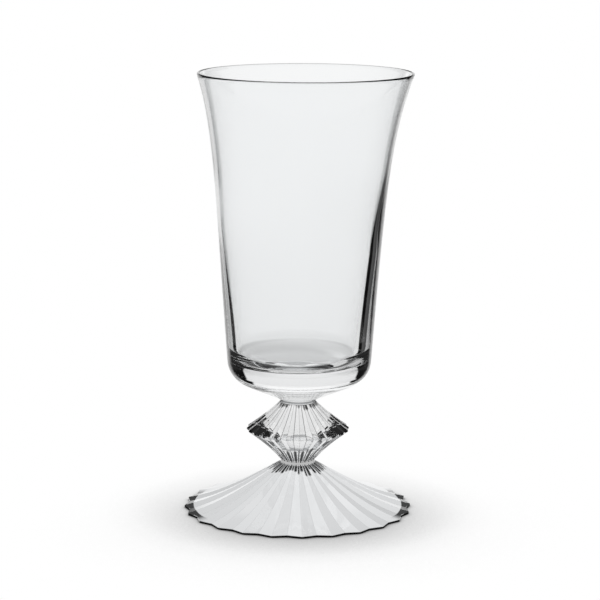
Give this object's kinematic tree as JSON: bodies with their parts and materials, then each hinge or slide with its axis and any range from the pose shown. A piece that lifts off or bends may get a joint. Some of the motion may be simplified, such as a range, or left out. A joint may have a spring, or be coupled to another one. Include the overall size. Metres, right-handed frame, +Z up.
{
  "type": "water goblet",
  "caption": "Clear glass water goblet: a tall flared bowl with a heavy base on a pleated double-cone knop and a wide pleated, hollowed foot.",
  "frame": {"origin": "centre of the foot on the table that the goblet stands on", "axes": "+Z up along the goblet's axis; a pleat ridge of foot and knop faces the front, -Y"},
  "size_m": [0.0916, 0.0916, 0.176],
  "materials": {
    "clear_glass": "fire-polished, clear"
  },
  "bodies": {
    "root": {"foot": "clear_glass", "foot_collar": "clear_glass", "knop": "clear_glass", "bowl_collar": "clear_glass", "bowl": "clear_glass"}
  },
  "joints": []
}
